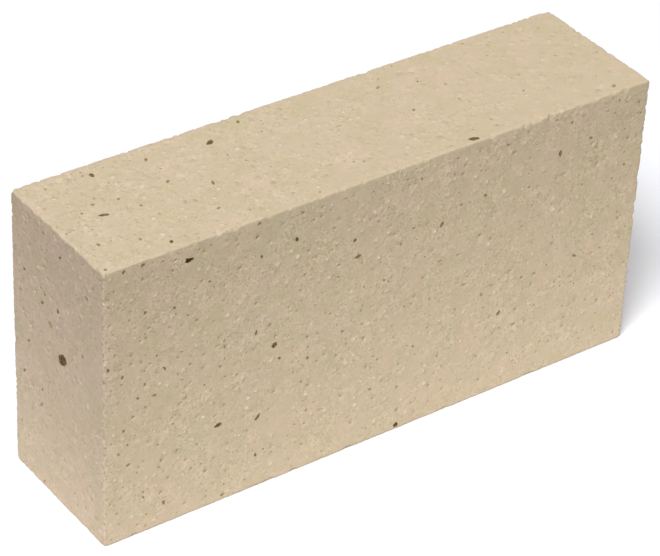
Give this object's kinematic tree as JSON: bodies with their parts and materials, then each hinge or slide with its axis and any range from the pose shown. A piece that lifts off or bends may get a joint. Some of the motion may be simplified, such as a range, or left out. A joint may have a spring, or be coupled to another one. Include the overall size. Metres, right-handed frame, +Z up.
{
  "type": "refractory firebrick",
  "caption": "Rectangular dense fireclay brick with plain flat faces and softened arrises, laid in mortar to line fireplaces, stoves, ovens and kilns.",
  "frame": {"origin": "centre of the long narrow face that the brick stands on", "axes": "+X along the length, +Y through the thickness from the front bed face to the back one, +Z up"},
  "size_m": [0.25, 0.064, 0.124],
  "materials": {
    "fireclay": "matt fired fireclay, pale buff with dark iron spots, pale grog grains and fine open pores"
  },
  "bodies": {
    "root": {"firebrick": "fireclay"}
  },
  "joints": []
}
